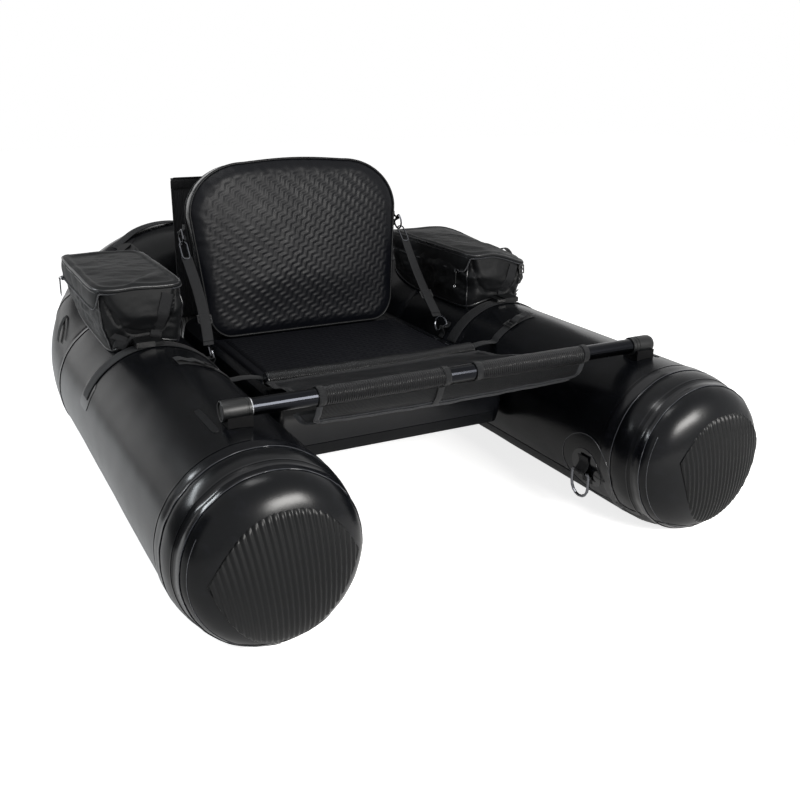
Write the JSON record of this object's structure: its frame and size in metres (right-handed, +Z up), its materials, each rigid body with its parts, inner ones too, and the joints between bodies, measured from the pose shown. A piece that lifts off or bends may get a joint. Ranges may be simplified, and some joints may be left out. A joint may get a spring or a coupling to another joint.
{
  "type": "float tube",
  "caption": "U-shaped inflatable fishing float tube with a raised stern, a folding backrest, a cross bar with a stripping apron and a zipped bag on each pontoon.",
  "frame": {"origin": "middle of the bounding box's bottom face, on the ground under the hull", "axes": "+Z up; +Y aft towards the raised stern; +X to the seated angler's left, because the angler faces -Y"},
  "size_m": [1.18, 1.5612, 0.6523],
  "materials": {
    "pvc": "satin",
    "rubber": "matte",
    "embossed_eva": "satin",
    "mesh_vinyl": "matte",
    "webbing": "matte",
    "bag_cloth": "matte",
    "moulded_plastic": "satin",
    "anodised_aluminium": "satin",
    "steel": "satin"
  },
  "bodies": {
    "hull": {"apron_front_lip": "mesh_vinyl", "apron_panel": "mesh_vinyl", "apron_rear_roll": "mesh_vinyl", "crossbar_tube": "anodised_aluminium", "left_anchor_loop": "webbing", "left_anchor_ring": "steel", "left_apron_sleeve": "mesh_vinyl", "left_apron_strap": "webbing", "left_backrest_strap": "webbing", "left_bag_body": "bag_cloth", "left_bar_cap": "moulded_plastic", "left_bar_saddle": "rubber", "left_buckle_socket": "moulded_plastic", "left_carry_handle": "webbing", "left_front_loop": "webbing", "left_hold_strap": "webbing", "left_nose_cone": "pvc", "left_pontoon_tube": "pvc", "left_stern_bend": "pvc", "left_valve_body": "moulded_plastic", "left_wear_patch": "rubber", "rear_storage_panel": "mesh_vinyl", "right_anchor_loop": "webbing", "right_anchor_ring": "steel", "right_apron_sleeve": "mesh_vinyl", "right_apron_strap": "webbing", "right_backrest_strap": "webbing", "right_bag_body": "bag_cloth", "right_bar_cap": "moulded_plastic", "right_bar_saddle": "rubber", "right_buckle_socket": "moulded_plastic", "right_carry_handle": "webbing", "right_front_loop": "webbing", "right_hold_strap": "webbing", "right_nose_cone": "pvc", "right_pontoon_tube": "pvc", "right_stern_bend": "pvc", "right_valve_body": "moulded_plastic", "right_wear_patch": "rubber", "seat_pad": "embossed_eva", "seat_slab": "pvc", "stern_tube": "pvc"},
    "backrest": {"backrest_cushion": "embossed_eva", "left_backrest_loop": "webbing", "left_backrest_ring": "steel", "left_snap_hook": "steel", "right_backrest_loop": "webbing", "right_backrest_ring": "steel", "right_snap_hook": "steel"},
    "left_lid": {"left_bag_lid": "bag_cloth"},
    "left_zip": {"left_zip_slider": "steel"},
    "left_plug": {"left_buckle_plug": "moulded_plastic"},
    "left_ring": {"left_front_ring": "steel"},
    "left_cap": {"left_valve_cap": "moulded_plastic"},
    "right_lid": {"right_bag_lid": "bag_cloth"},
    "right_zip": {"right_zip_slider": "steel"},
    "right_plug": {"right_buckle_plug": "moulded_plastic"},
    "right_ring": {"right_front_ring": "steel"},
    "right_cap": {"right_valve_cap": "moulded_plastic"}
  },
  "joints": [
    {"name": "backrest_fold", "type": "hinge", "parent": "hull", "child": "backrest", "pos_m": [0, 0.1826, 0.2556], "axis": [1, 0, 0], "range_deg": [0, 88], "deforming": ["left_backrest_strap", "right_backrest_strap"]},
    {"name": "left_lid_hinge", "type": "hinge", "parent": "hull", "child": "left_lid", "pos_m": [-0.33501, 0.19761, 0.41715], "axis": [0, 1, 0], "range_deg": [0, 100]},
    {"name": "left_zip_slide", "type": "slide", "parent": "hull", "child": "left_zip", "axis": [0, 1, 0], "range_m": [-0.33002, 0]},
    {"name": "left_buckle_release", "type": "slide", "parent": "hull", "child": "left_plug", "axis": [1, 0, 0], "range_m": [0, 0.03]},
    {"name": "left_ring_swing", "type": "hinge", "parent": "hull", "child": "left_ring", "pos_m": [-0.26656, -0.5844, 0.10742], "axis": [0, 1, 0], "range_deg": [-100, 15]},
    {"name": "left_cap_turn", "type": "hinge", "parent": "hull", "child": "left_cap", "pos_m": [-0.35321, 0.51962, 0.40542], "axis": [-0.2051, -0.4484, 0.87], "continuous": true},
    {"name": "right_lid_hinge", "type": "hinge", "parent": "hull", "child": "right_lid", "pos_m": [0.53299, 0.19761, 0.41715], "axis": [0, 1, 0], "range_deg": [0, 100]},
    {"name": "right_zip_slide", "type": "slide", "parent": "hull", "child": "right_zip", "axis": [0, 1, 0], "range_m": [0, 0.33002]},
    {"name": "right_buckle_release", "type": "slide", "parent": "hull", "child": "right_plug", "axis": [-1, 0, 0], "range_m": [0, 0.03]},
    {"name": "right_ring_swing", "type": "hinge", "parent": "hull", "child": "right_ring", "pos_m": [0.26656, -0.5844, 0.10742], "axis": [0, 1, 0], "range_deg": [-15, 100]},
    {"name": "right_cap_turn", "type": "hinge", "parent": "hull", "child": "right_cap", "pos_m": [0.35321, 0.51962, 0.40542], "axis": [0.2051, -0.4484, 0.87], "continuous": true}
  ]
}
